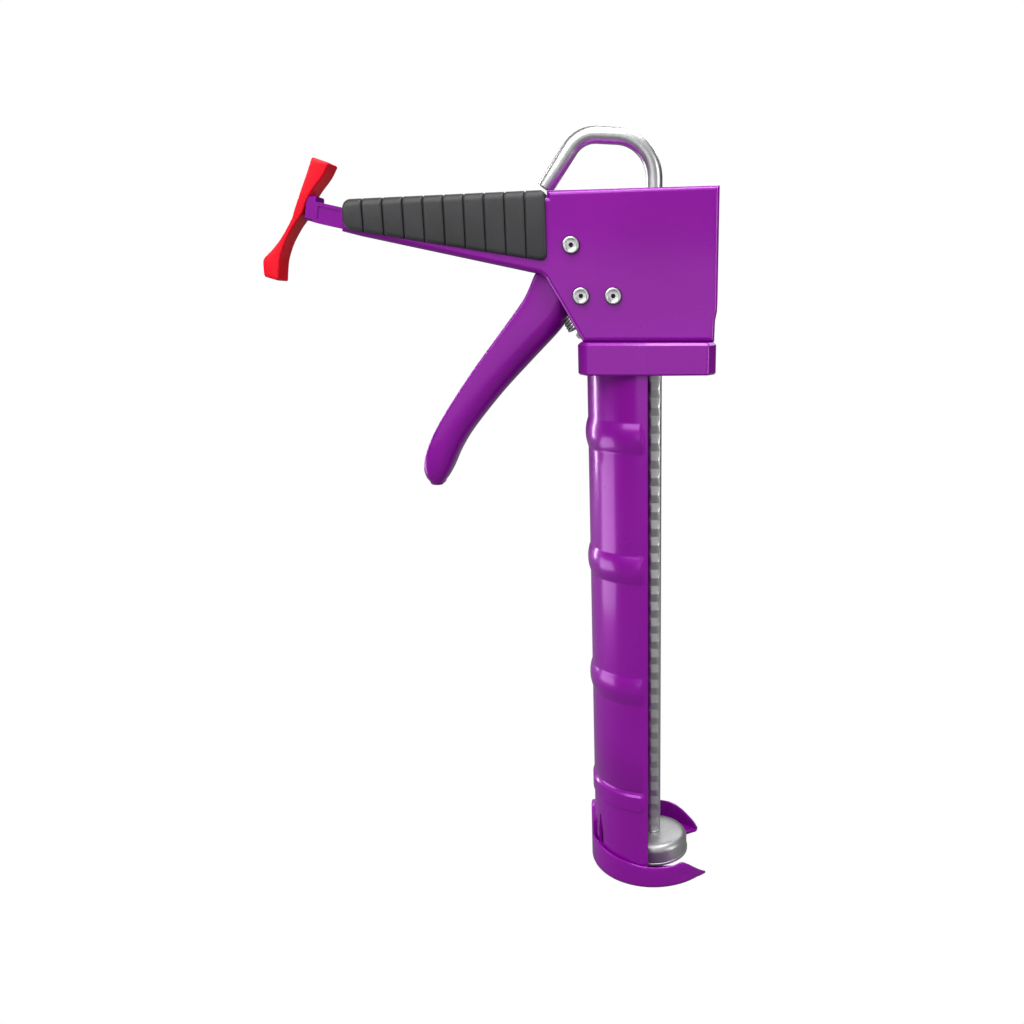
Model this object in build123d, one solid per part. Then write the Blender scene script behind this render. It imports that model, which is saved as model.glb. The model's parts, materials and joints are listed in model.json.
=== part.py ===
"""Jerky gun: half-barrel cradle, ratchet rod, squeeze trigger and a wing knob on the handle.

Frame: millimetres, +Z up, barrel pointing down (-Z), handle towards -X, cradle open
towards +X.  The origin is on the rod axis, in the plane of the collar's lower face.
"""
import os
from math import acos, atan2, cos, degrees, hypot, radians, sin

from build123d import *
from build123d.topology import SkipClean

# ---------------------------------------------------------------- driving dimensions
RUN_GAP = 0.08               # radial running clearance of shafts in bores
MOVE_GAP = 0.3               # clearance between pieces that pass each other

# ratchet rod, a quarter inch thick
ROD_R = 6.35 / 2
ROD_TAIL_R = 2.4             # turned-down end that the piston spins on
TOOTH_PITCH = 7.3
TOOTH_DEPTH = 0.9
TOOTH_SPAN = (-205.0, 56.0)
HOOK_FOOT_Z = 71.0             # where the rod starts to bend into the pull hook
HOOK_CORNERS = [(0.0, 87.2), (-28.5, 88.6)]
HOOK_RADII = [15.0, 12.0]
HOOK_END = (-42.2, 69.4)

# half-barrel cradle
CRADLE_R = 27.3              # outside radius
CRADLE_WALL = 1.2
CRADLE_FOOT_Z = -222.9       # lower edge, standing in the front cap
CRADLE_EDGE_X = -2.8         # the two long edges stop just short of a half turn
CRADLE_SEAT = 4.0            # how far the half barrel reaches up into the collar
RIB_PITCH = 53.2
RIB_FIRST_Z = -24.2
RIB_COUNT = 4
RIB_H = 1.1
RIB_W = 10.0
RIB_END = 2.8                # plain lip left between a rib's end and the long edge
ARCH_DEG = 28.0              # each arched slot sits this far round from the back
ARCH_W = 4.6
ARCH_Z = (-212.0, -196.0)
ARCH_POINT = (1.0, 9.0)      # width and height of the slot's tapered top

# collar that joins the cradle to the body
COLLAR_H = 12.0
COLLAR_LEFT = -29.4
COLLAR_RIGHT = 23.8
COLLAR_SCREWS = [(-18.0, -7.0), (-18.0, 7.0), (16.0, -7.0), (16.0, 7.0)]
COLLAR_SCREW_TOP = 16.0
COLLAR_HEAD_R = 3.4
COLLAR_HEAD_H = 4.0
SOCKET_R = 1.7               # hexagon socket, corner radius
SOCKET_DEPTH = 2.2

# front cap
CAP_R = 29.0
CAP_WALL = 1.1
CAP_FLOOR = 1.4
CAP_BOTTOM_Z = -224.5
CAP_RIM_Z = -214.7
CAP_ROUND = 2.0              # rounding of the outer lower edge
CAP_TIP_NEAR = (23.7, 16.9)  # inner corner of each horn, X and Y
CAP_TIP_FAR = (21.4, 16.9)
NOZZLE_HALF = 12.6           # half width of the open slot for the filling tube
STRAP_HALF_W = 6.5
STRAP_TOP_Z = -197.0

# piston
PISTON_R = 16.0
PISTON_TOP_Z = -211.8
PISTON_H = 9.0
PISTON_WALL = 1.6
WASHER_R = 7.0
WASHER_H = 1.0
ROD_NUT_H = 3.2

# body shells
HALF_T = 14.0                # half thickness of the body and handle
SHELL_T = 2.0
BODY_FLOOR_Z = 17.0          # top of the solid floor inside the body
EDGE_R = 1.8                 # rounding of the shells' outer edges
BODY_TOP_LEFT = (-40.4, 67.1)
BODY_TOP_RIGHT = (24.5, 68.9)
HANDLE_END_X = -117.4
BUSH_R = 6.0
BUSH_BLOCK_Z = (58.0, 67.2)

# screws
PIVOT = (-31.6, 47.7)        # trigger pivot screw, X and Z
STOP = (-28.2, 29.2)         # trigger stop screw
CATCH = (-15.8, 29.2)        # holding pawl screw
SCREW_SHANK_R = 2.0
SCREW_HEAD_R = 3.3
SCREW_HEAD_H = 1.5
NUT_R = 4.0
NUT_H = 3.0

# trigger group
TRIGGER_HALF_T = 9.0
TRIGGER_BUSH_R = 3.2
BOSS_R = 8.0
BOSS_HALF_T = 8.0
ARM_R = 17.0                 # trigger pivot to drive pawl pivot
ARM_DEG = 14.0               # the arm's angle above level at rest
ARM_HALF_T = 7.0
DRIVE_PIN_R = 1.5
PAWL_HALF_T = 3.0
CATCH_BUSH_R = 2.9

# return spring
SPRING_FOOT = (-30.0, 14.6)
SPRING_TOP = (-37.0, 26.8)
SPRING_R = 3.6
SPRING_WIRE = 1.1
HOOK_R = 1.8                 # outside radius of the loops at its ends
SPRING_PIN_R = 0.6
SPRING_PIN_HALF = 6.0

# grip sleeve
GRIP_T = 1.6                 # the sleeve stands this proud of the shells' sides
GRIP_X = (-117.2, -40.9)
GRIP_SEGMENTS = 10
GROOVE_W = 0.9
GROOVE_D = 0.7

# handle core and wing knob
AXIS_DEG = 12.0              # their axis rises this much towards -X
KNOB_HUB = (-134.0, 62.2)
KNOB_HALF_T = 5.4
KNOB_FACE = 1.2              # where the knob screw's head bears, from the flange's face
KNOB_HEAD_R = 3.2
KNOB_HEAD_H = 1.5
CORE_HALF_Y = 5.0
CORE_HALF_Z = 3.8
CORE_DROP = 1.2              # the bar's centre lies this far under the knob's axis
CORE_LENGTH = 34.6


# ---------------------------------------------------------------- helpers
def outline(points):
    """A flat face from a closed run of straight edges."""
    return make_face(Polyline(*points, close=True))


def slab(face, y_low, y_high):
    """Extrude a face drawn in (X, Z) from y_low to y_high."""
    return extrude(Plane.XZ.offset(-y_high) * face, y_high - y_low)


def pin_y(centre, radius, y_low, y_high):
    """A round bar along Y through an (X, Z) centre."""
    return slab(Pos(*centre) * Circle(radius), y_low, y_high)


def ring_y(centre, outer, inner, y_low, y_high):
    return pin_y(centre, outer, y_low, y_high) - pin_y(centre, inner, y_low, y_high)


def disc_z(radius, z_low, z_high, x=0.0, y=0.0):
    """A round bar along Z."""
    return Pos(x, y, z_low) * extrude(Circle(radius), z_high - z_low)


def polar(centre, radius, angle):
    return (centre[0] + radius * cos(radians(angle)), centre[1] + radius * sin(radians(angle)))


def box(x, y, z):
    """A box from three (low, high) pairs."""
    middle = [(low + high) / 2 for low, high in (x, y, z)]
    return Pos(*middle) * Box(x[1] - x[0], y[1] - y[0], z[1] - z[0])


def along_knob_axis(shape):
    """Place a shape drawn with +X along the knob's axis, from the flange's face outwards."""
    return Pos(KNOB_HUB[0], 0, KNOB_HUB[1]) * Rot(0, 180 + AXIS_DEG, 0) * shape


def round_knob_axis(radius, start, stop):
    """A round bar on the knob's axis."""
    return along_knob_axis(Rot(0, 90, 0) * disc_z(radius, start, stop))


def save(name, shape):
    shape.label = name
    export_step(shape, f"parts/{name}.step")


# ---------------------------------------------------------------- body and handle
def body_outline():
    """Side outline of the body and the handle under the grip."""
    straight = Polyline(
        (-44.6, 37.6), (-118.4, 52.7), (HANDLE_END_X, 61.4), (-41.5, 64.9), (-40.4, 64.9),
        BODY_TOP_LEFT, BODY_TOP_RIGHT, (24.5, 27.0), (24.4, 23.5), (23.7, 20.0),
        (23.5, COLLAR_H), (-27.9, COLLAR_H), (-36.2, 26.6), (-40.5, 33.6),
    )
    return make_face(straight + ThreePointArc((-40.5, 33.6), (-42.2, 36.3), (-44.6, 37.6)))


def cavity_outline():
    """The hollow between the shells; it runs out through the slanted edge and under the handle."""
    return outline([
        (-99.0, 40.0), (-99.0, 59.8), (-44.0, 62.4), (-38.4, 64.9), (22.0, 66.2),
        (21.4, BODY_FLOOR_Z), (-25.6, BODY_FLOOR_Z), (-25.6, 5.0), (-60.0, 5.0),
    ])


def bush_block():
    """Solid web that carries the upper rod bush."""
    half = BUSH_R + 3.0
    return box((-half, half), (-HALF_T, HALF_T), BUSH_BLOCK_Z)


def core_bar(stop):
    """Square bar along the knob's axis, from inside the handle to a distance from the flange."""
    bar = box((-CORE_LENGTH, stop), (-CORE_HALF_Y, CORE_HALF_Y), (-CORE_HALF_Z, CORE_HALF_Z))
    return along_knob_axis(Pos(0, 0, CORE_DROP) * bar)


def shell_pair():
    solid = slab(body_outline(), -HALF_T, HALF_T)
    solid = fillet(solid.edges().filter_by(Plane.XZ), EDGE_R)
    inner_y = HALF_T - SHELL_T
    solid -= slab(cavity_outline(), -inner_y, inner_y) - bush_block()
    solid -= disc_z(BUSH_R, COLLAR_H - 1, BODY_TOP_RIGHT[1] + 1)
    for centre in (PIVOT, STOP, CATCH):
        solid -= pin_y(centre, SCREW_SHANK_R, -HALF_T - 1, HALF_T + 1)
    for x, y in COLLAR_SCREWS:
        solid -= disc_z(SCREW_SHANK_R, COLLAR_H - 1, COLLAR_SCREW_TOP, x, y)
    solid -= core_bar(5.0)
    near = solid & box((-150, 60), (-30, 0), (0, 90))
    far = solid & box((-150, 60), (0, 30), (0, 90))
    return near, far


# ---------------------------------------------------------------- collar and rod bushes
def collar_plan():
    """Plan of the collar: the long sides bow out a little and the corners are cut off."""
    near = [(COLLAR_LEFT, -20.0), (-26.4, -27.6), (-3.0, -29.0), (20.8, -26.4),
            (COLLAR_RIGHT, -20.0)]
    far = [(x, -y) for x, y in reversed(near)]
    plan = outline(near + far)
    return fillet(plan.vertices(), 2.0)


def collar():
    block = extrude(collar_plan(), COLLAR_H)
    block = chamfer(block.faces().sort_by(Axis.Z)[-1].edges(), 0.9)
    block = chamfer(block.faces().sort_by(Axis.Z)[0].edges(), 0.6)
    block -= disc_z(BUSH_R, -1, COLLAR_H + 1)
    block -= half_barrel(CRADLE_R, CRADLE_R - CRADLE_WALL, -5.0, CRADLE_SEAT)
    for x, y in COLLAR_SCREWS:
        block -= disc_z(SCREW_SHANK_R, -1, COLLAR_H + 1, x, y)
        block -= disc_z(COLLAR_HEAD_R, -1, COLLAR_HEAD_H, x, y)
    return block


def collar_screw(x, y):
    head = disc_z(COLLAR_HEAD_R, 0.2, COLLAR_HEAD_H, x, y)
    socket = Pos(x, y, 0.2) * extrude(RegularPolygon(SOCKET_R, 6), SOCKET_DEPTH)
    return head + disc_z(SCREW_SHANK_R, COLLAR_HEAD_H, COLLAR_SCREW_TOP, x, y) - socket


def rod_bush(z_low, z_high):
    return disc_z(BUSH_R, z_low, z_high) - disc_z(ROD_R + RUN_GAP, z_low - 1, z_high + 1)


# ---------------------------------------------------------------- cradle
def half_barrel(outer, inner, z_low, z_high):
    tube = disc_z(outer, z_low, z_high) - disc_z(inner, z_low - 1, z_high + 1)
    return tube & box((-60, CRADLE_EDGE_X), (-60, 60), (z_low - 1, z_high + 1))


def barrel_line(radius):
    """One side of the wall's section: straight runs with a rounded bulge at each rib."""
    half = RIB_W / 2
    line = []
    last = (radius, CRADLE_SEAT)
    for index in range(RIB_COUNT):
        z_mid = RIB_FIRST_Z - index * RIB_PITCH
        line.append(Line(last, (radius, z_mid + half)))
        last = (radius, z_mid - half)
        line.append(ThreePointArc((radius, z_mid + half), (radius + RIB_H, z_mid), last))
    line.append(Line(last, (radius, CRADLE_FOOT_Z)))
    return line


def barrel_section(ribbed):
    """The wall's section in (X, Z), on the +X side of the rod axis."""
    inner = CRADLE_R - CRADLE_WALL
    if not ribbed:
        return outline([(inner, CRADLE_SEAT), (CRADLE_R, CRADLE_SEAT),
                        (CRADLE_R, CRADLE_FOOT_Z), (inner, CRADLE_FOOT_Z)])
    ends = [Line((inner, z), (CRADLE_R, z)) for z in (CRADLE_SEAT, CRADLE_FOOT_Z)]
    return make_face([*barrel_line(CRADLE_R), *barrel_line(inner), *ends])


def turned_wall(ribbed, start_deg, stop_deg):
    """The section turned about the rod axis between two directions, counted from +X."""
    wall = revolve(Plane.XZ * barrel_section(ribbed), Axis.Z, stop_deg - start_deg)
    return Rot(0, 0, start_deg) * wall


def arch_slot(side):
    """Pointed slot near the cradle's foot, beside the cap's back strap."""
    low, high = ARCH_Z
    half = ARCH_W / 2
    tip = ARCH_POINT[0] / 2
    shoulder = high - ARCH_POINT[1]
    face = outline([(-half, low), (half, low), (half, shoulder), (tip, high), (-tip, high),
                    (-half, shoulder)])
    cutter = slab(face, -CRADLE_R - 8, -CRADLE_R + 7)
    return Rot(0, 0, -90 + side * ARCH_DEG) * cutter


def cradle():
    """Half barrel with embossed ribs that stop short of its two plain lips."""
    lip_deg = degrees(acos(-CRADLE_EDGE_X / CRADLE_R))
    rib_deg = degrees(acos((RIB_END - CRADLE_EDGE_X) / CRADLE_R))
    with SkipClean():        # merged barrel faces would wrap round every rib
        shell = turned_wall(True, 180 - rib_deg, 180 + rib_deg)
        shell += turned_wall(False, 180 - lip_deg, 180 - rib_deg)
        shell += turned_wall(False, 180 + rib_deg, 180 + lip_deg)
        for side in (-1, 1):
            shell -= arch_slot(side)
    return shell


# ---------------------------------------------------------------- front cap
def cap_slot():
    """U-shaped opening for the nozzle: round at the rod axis, wider between the horns."""
    (near_x, near_y), (far_x, far_y) = CAP_TIP_NEAR, CAP_TIP_FAR
    flare = outline([
        (0, -NOZZLE_HALF), (11.0, -NOZZLE_HALF - 0.2), (near_x, -near_y), (40, -near_y - 9),
        (40, far_y + 9), (far_x, far_y), (11.0, NOZZLE_HALF + 0.2), (0, NOZZLE_HALF),
    ])
    return Pos(0, 0, CAP_BOTTOM_Z - 1) * extrude(Circle(NOZZLE_HALF) + flare, 30)


def horn_slope(tip_x, y_low, y_high):
    """Wedge above a horn: its wall falls from the rim to the floor."""
    foot = CAP_BOTTOM_Z + 1.0
    face = outline([(12.6, CAP_RIM_Z + 5), (12.6, CAP_RIM_Z), (tip_x, foot), (tip_x + 20, foot),
                    (tip_x + 20, CAP_RIM_Z + 5)])
    return slab(face, y_low, y_high)


def cap_strap():
    """Pointed strap that rises from the cap behind the cradle."""
    strap = disc_z(CAP_R, CAP_RIM_Z - 4, STRAP_TOP_Z) - disc_z(CRADLE_R, CAP_RIM_Z - 9, 0)
    foot, shoulder = STRAP_TOP_Z - 30, STRAP_TOP_Z - 6
    face = outline([(-STRAP_HALF_W, foot), (STRAP_HALF_W, foot), (STRAP_HALF_W, shoulder),
                    (2.0, STRAP_TOP_Z), (-2.0, STRAP_TOP_Z), (-STRAP_HALF_W, shoulder)])
    return strap & (Rot(0, 0, -90) * slab(face, -40, -20))


def front_cap():
    cup = disc_z(CAP_R, CAP_BOTTOM_Z, CAP_RIM_Z)
    cup = fillet(cup.faces().sort_by(Axis.Z)[0].edges(), CAP_ROUND)
    cup -= disc_z(CAP_R - CAP_WALL, CAP_BOTTOM_Z + CAP_FLOOR, 0)
    cup -= cap_slot()
    cup -= horn_slope(CAP_TIP_NEAR[0], -40, 0)
    cup -= horn_slope(CAP_TIP_FAR[0], 0, 40)
    return cup + cap_strap()


# ---------------------------------------------------------------- screws, nuts and bushes
def side_screw(centre):
    """Button-head machine screw from the near side, with a cross recess."""
    face_y = -HALF_T
    screw = pin_y(centre, SCREW_SHANK_R, face_y, HALF_T + NUT_H + 0.8)
    head = pin_y(centre, SCREW_HEAD_R, face_y - SCREW_HEAD_H, face_y)
    head = chamfer(head.faces().sort_by(Axis.Y)[0].edges(), 0.35)
    dish = pin_y(centre, SCREW_HEAD_R - 0.8, face_y - SCREW_HEAD_H, face_y - SCREW_HEAD_H + 0.3)
    x, z = centre
    y = face_y - SCREW_HEAD_H + 0.6
    cross = Pos(x, y, z) * (Box(2.8, 1.2, 0.8) + Box(0.8, 1.2, 2.8))
    return screw + head - dish - cross


def side_nut(centre):
    """Hexagon nut on the far side."""
    face = Pos(*centre) * RegularPolygon(NUT_R, 6)
    nut = slab(face, HALF_T, HALF_T + NUT_H)
    return nut - pin_y(centre, SCREW_SHANK_R, HALF_T - 1, HALF_T + NUT_H + 1)


# ---------------------------------------------------------------- trigger group
def trigger_front():
    """The lever's front edge, where the fingers pull."""
    return Spline((-84.8, -42.0), (-79.4, -30.8), (-61.7, -6.8), (-50.5, 4.9), (-36.6, 19.8),
                  (-32.2, 26.0))


def trigger_outline():
    """Side outline of the squeeze lever, from the pivot boss to its rounded tip."""
    back = Spline((-43.6, 41.6), (-47.4, 35.2), (-61.2, 15.2), (-78.8, -7.0), (-89.4, -23.0),
                  (-95.3, -37.4))
    tip = ThreePointArc((-95.3, -37.4), (-91.6, -46.4), (-84.8, -42.0))
    top = Polyline((-32.2, 26.0), (-31.9, 33.0), (-25.4, 42.6), (-28.0, 55.0), (-37.6, 54.0),
                   (-43.6, 41.6))
    return make_face(back + tip + trigger_front() + top)


def drive_pin_centre():
    return polar(PIVOT, ARM_R, ARM_DEG)


def spring_length():
    return hypot(SPRING_TOP[0] - SPRING_FOOT[0], SPRING_TOP[1] - SPRING_FOOT[1])


def along_spring(shape):
    """Place a shape drawn with +Z along the return spring, from its lower loop's centre."""
    lean = degrees(atan2(SPRING_TOP[0] - SPRING_FOOT[0], SPRING_TOP[1] - SPRING_FOOT[1]))
    return Pos(SPRING_FOOT[0], 0, SPRING_FOOT[1]) * Rot(0, lean, 0) * shape


def trigger_lever():
    blade = slab(trigger_outline(), -TRIGGER_HALF_T, TRIGGER_HALF_T)
    front_length = trigger_front().length
    front_edges = [e for e in blade.edges().filter_by(Plane.XZ)
                   if abs(e.length - front_length) < 0.5]
    blade = chamfer(front_edges, 4.2, 5.2)
    boss = pin_y(PIVOT, BOSS_R, -BOSS_HALF_T, BOSS_HALF_T)
    arm_face = make_hull([
        *(Pos(*PIVOT) * Circle(5.5)).edges(),
        *(Pos(*drive_pin_centre()) * Circle(4.0)).edges(),
    ])
    arm = slab(arm_face, -ARM_HALF_T, ARM_HALF_T)
    fork_gap = PAWL_HALF_T + MOVE_GAP
    arm -= pin_y(drive_pin_centre(), 7.5, -fork_gap, fork_gap)
    lever = blade + boss + arm
    lever -= pin_y(drive_pin_centre(), DRIVE_PIN_R, -20, 20)
    lever -= pin_y(PIVOT, TRIGGER_BUSH_R, -20, 20)
    lever -= along_spring(disc_z(SPRING_R + 0.6, -3.0, spring_length() + 2.4))
    return lever - pin_y(SPRING_TOP, SPRING_PIN_R, -SPRING_PIN_HALF, SPRING_PIN_HALF)


def trigger_bush():
    return ring_y(PIVOT, TRIGGER_BUSH_R, SCREW_SHANK_R + RUN_GAP, -BOSS_HALF_T, BOSS_HALF_T)


def drive_pawl():
    """Pawl on the trigger's arm; its tip stands just clear of the rod's plain flank."""
    x, z = drive_pin_centre()
    body = make_hull((Pos(x, z) * Circle(3.2)).edges() + [Line((-5.2, z - 4.2), (-5.2, z - 7.0))])
    pawl = slab(body, -PAWL_HALF_T, PAWL_HALF_T)
    return pawl - pin_y((x, z), DRIVE_PIN_R + RUN_GAP, -5, 5)


def holding_pawl():
    """Pawl on the catch screw that keeps the rod from creeping back."""
    x, z = CATCH
    body = make_hull((Pos(x, z) * Circle(4.2)).edges() + [Line((-5.0, z - 5.0), (-5.0, z - 8.0))])
    pawl = slab(body, -PAWL_HALF_T, PAWL_HALF_T)
    return pawl - pin_y((x, z), CATCH_BUSH_R + RUN_GAP, -5, 5)


def spacer(centre, outer):
    """Tube on a screw that keeps the two shells apart."""
    reach = HALF_T - SHELL_T
    return ring_y(centre, outer, SCREW_SHANK_R, -reach, reach)


def coil_y(centre, radius, wire, y_low, turns):
    """Closed turns of a small torsion spring, side by side along Y."""
    turn = Rot(90, 0, 0) * Torus(radius, wire / 2)
    return Compound([Pos(centre[0], y_low + wire * (0.5 + 1.04 * n), centre[1]) * turn
                     for n in range(turns)])


# ---------------------------------------------------------------- return spring
def return_spring():
    """Close-wound extension spring, a loop at each end."""
    length = spring_length()
    coil_low = HOOK_R + 0.5 * SPRING_WIRE + 0.1
    coil_high = length - coil_low
    pitch = SPRING_WIRE * 1.03
    turns = int((coil_high - coil_low) / pitch) + 1
    start = (coil_low + coil_high - (turns - 1) * pitch) / 2
    turn = Torus(SPRING_R - SPRING_WIRE / 2, SPRING_WIRE / 2)
    loop = Rot(90, 0, 0) * Torus(HOOK_R - SPRING_WIRE / 2, SPRING_WIRE / 2)
    pieces = [along_spring(Pos(0, 0, start + n * pitch) * turn) for n in range(turns)]
    pieces += [along_spring(loop), along_spring(Pos(0, 0, length) * loop)]
    return Compound(pieces)


# ---------------------------------------------------------------- ratchet rod and piston
def tooth_gap(z):
    """Cutter for one notch across the rod's -Y flank."""
    face = -ROD_R
    floor = face + TOOTH_DEPTH
    notch = outline([(face - 1, z - 0.4), (face, z), (floor, z + 0.5), (floor, z + 3.1),
                     (face, z + 3.9), (face - 1, z + 4.3)])
    return Pos(-ROD_R - 1, 0, 0) * extrude(Plane.YZ * notch, 2 * ROD_R + 2)


def ratchet_rod():
    """Straight length of the round rod, with teeth on one flank."""
    rod = disc_z(ROD_R, PISTON_TOP_Z + MOVE_GAP, HOOK_FOOT_Z)
    rod += disc_z(ROD_TAIL_R, PISTON_TOP_Z - 7.0, PISTON_TOP_Z + 2.0)
    low, high = TOOTH_SPAN
    for index in range(int((high - low) / TOOTH_PITCH)):
        rod -= tooth_gap(low + index * TOOTH_PITCH)
    return rod


def pull_hook():
    """The rod's bent upper end, in one bar with the straight length below it."""
    corners = [(x, 0, z) for x, z in (*HOOK_CORNERS, HOOK_END)]
    path = FilletPolyline((0, 0, HOOK_FOOT_Z), *corners, radius=HOOK_RADII)
    return sweep(Plane.XY.offset(HOOK_FOOT_Z) * Circle(ROD_R), path=path)


def piston_cup():
    """Pressed cup, open towards the cap, that pushes the filling tube's plunger."""
    cup = disc_z(PISTON_R, PISTON_TOP_Z - PISTON_H, PISTON_TOP_Z)
    cup = fillet(cup.faces().sort_by(Axis.Z)[-1].edges(), 1.4)
    cup -= disc_z(PISTON_R - PISTON_WALL, PISTON_TOP_Z - PISTON_H - 1, PISTON_TOP_Z - PISTON_WALL)
    return cup - disc_z(ROD_TAIL_R + RUN_GAP, PISTON_TOP_Z - 5, PISTON_TOP_Z + 1)


def piston_washer():
    high = PISTON_TOP_Z - PISTON_WALL
    low = high - WASHER_H
    return disc_z(WASHER_R, low, high) - disc_z(ROD_TAIL_R + RUN_GAP, low - 1, high + 1)


def rod_nut():
    """Lock nut under the piston; the piston turns freely between it and the rod's shoulder."""
    high = PISTON_TOP_Z - PISTON_WALL - WASHER_H - MOVE_GAP
    nut = Pos(0, 0, high - ROD_NUT_H) * extrude(RegularPolygon(4.6, 6), ROD_NUT_H)
    return nut - disc_z(ROD_TAIL_R, high - ROD_NUT_H - 1, high + 1)


# ---------------------------------------------------------------- grip, handle core and knob
def grip_outline():
    left, right = GRIP_X
    face = outline([(right, 67.3), (left + 1.6, 64.1), (left, 62.6), (left, 54.6),
                    (left + 1.6, 53.2), (right, 41.7)])
    return fillet(face.vertices(), 1.6)


def grip_sleeve():
    outer_y = HALF_T + GRIP_T
    sleeve = slab(grip_outline(), -outer_y, outer_y)
    sleeve = fillet(sleeve.edges().filter_by(Plane.XZ), 1.2)
    sleeve -= slab(body_outline(), -HALF_T, HALF_T)
    under = outline([(-125, 40), (-125, 57), (-40, 57), (-30, 30)])
    sleeve -= slab(under, -HALF_T, HALF_T)
    left, right = GRIP_X
    width = (right - left) / GRIP_SEGMENTS
    for index in range(1, GRIP_SEGMENTS):
        x = left + index * width
        span = (x - GROOVE_W / 2, x + GROOVE_W / 2)
        sleeve -= box(span, (-outer_y - 1, -outer_y + GROOVE_D), (30, 80))
        sleeve -= box(span, (outer_y - GROOVE_D, outer_y + 1), (30, 80))
    return sleeve


def handle_core():
    """Square bar clamped in the handle's end; its outer end carries the knob."""
    bar = core_bar(-3.2)
    flange = along_knob_axis(box((-3.4, 0.0), (-4.9, 4.9), (-4.6, 4.8)))
    flange = chamfer(flange.edges().filter_by(lambda e: e.length < 3.6), 0.8)
    for span in ((-6.0, -4.6), (4.6, 6.0)):
        bar -= along_knob_axis(box((-13.0, -4.6), span, (-1.3, 3.6)))
    return bar + flange - round_knob_axis(SCREW_SHANK_R, -12.0, 1.0)


def knob_outline():
    """S-shaped two-armed bar with flared ends, seen along Y."""
    left = Polyline((-129.4, 79.8), (-139.1, 60.6), (-139.3, 58.9), (-141.3, 54.7))
    waist = Spline((-141.3, 54.7), (-145.6, 49.1), (-151.7, 43.9))
    pad = Polyline((-151.7, 43.9), (-152.5, 42.8), (-153.0, 37.3), (-147.4, 35.0))
    inner = Spline((-147.4, 35.0), (-146.2, 42.1), (-142.2, 50.0), (-136.9, 57.6))
    hub = Polyline((-136.9, 57.6), (-135.4, 58.8), (-133.4, 68.2), (-129.6, 70.6),
                   (-123.6, 77.1), (-129.4, 79.8))
    return make_face(left + waist + pad + inner + hub)


def wing_knob():
    bar = slab(knob_outline(), -KNOB_HALF_T, KNOB_HALF_T)
    bar = fillet(bar.edges().filter_by(Plane.XZ), 0.7)
    bore = round_knob_axis(SCREW_SHANK_R + RUN_GAP, -8, 20)
    seat = round_knob_axis(KNOB_HEAD_R + 0.5, KNOB_FACE, 20)
    flange_room = round_knob_axis(7.6, -6.0, MOVE_GAP)
    return bar - bore - seat - flange_room


def knob_screw():
    under_head = KNOB_FACE + MOVE_GAP
    top = under_head + KNOB_HEAD_H
    shank = round_knob_axis(SCREW_SHANK_R, -12.0, under_head)
    slot = along_knob_axis(Pos(top, 0, 0) * Box(1.4, 2 * KNOB_HEAD_R + 1, 1.0))
    return shank + round_knob_axis(KNOB_HEAD_R, under_head, top) - slot


# ---------------------------------------------------------------- build
def main():
    os.makedirs("parts", exist_ok=True)
    near, far = shell_pair()
    inner_y = HALF_T - SHELL_T
    save("body_shell_near", near)
    save("body_shell_far", far)
    save("collar", collar())
    save("collar_screws", Compound([collar_screw(x, y) for x, y in COLLAR_SCREWS]))
    save("cradle", cradle())
    save("front_cap", front_cap())
    save("rod_bush_upper", rod_bush(BUSH_BLOCK_Z[0], BUSH_BLOCK_Z[1] + 0.6))
    save("rod_bush_lower", rod_bush(0.4, BODY_FLOOR_Z + 1.0))
    save("trigger_screw", side_screw(PIVOT))
    save("stop_screw", side_screw(STOP))
    save("catch_screw", side_screw(CATCH))
    save("screw_nuts", Compound([side_nut(c) for c in (PIVOT, STOP, CATCH)]))
    save("stop_spacer", spacer(STOP, 3.2))
    save("catch_bush", spacer(CATCH, CATCH_BUSH_R))
    save("catch_spring", coil_y(CATCH, 4.0, 0.8, PAWL_HALF_T + 0.4, 4))
    save("grip_sleeve", grip_sleeve())
    save("handle_core", handle_core())
    save("knob_screw", knob_screw())
    save("wing_knob", wing_knob())
    save("trigger_lever", trigger_lever())
    save("trigger_bush", trigger_bush())
    save("drive_pin", pin_y(drive_pin_centre(), DRIVE_PIN_R, -ARM_HALF_T, ARM_HALF_T))
    save("drive_pawl", drive_pawl())
    save("holding_pawl", holding_pawl())
    save("return_spring", return_spring())
    save("spring_post", pin_y(SPRING_FOOT, SPRING_PIN_R, -inner_y, inner_y))
    save("spring_pin", pin_y(SPRING_TOP, SPRING_PIN_R, -SPRING_PIN_HALF, SPRING_PIN_HALF))
    save("ratchet_rod", ratchet_rod())
    save("pull_hook", pull_hook())
    save("piston_cup", piston_cup())
    save("piston_washer", piston_washer())
    save("rod_nut", rod_nut())


main()
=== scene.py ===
import json
from math import acos, atan2, cos, exp, hypot, pi, radians, sin, sqrt

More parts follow.
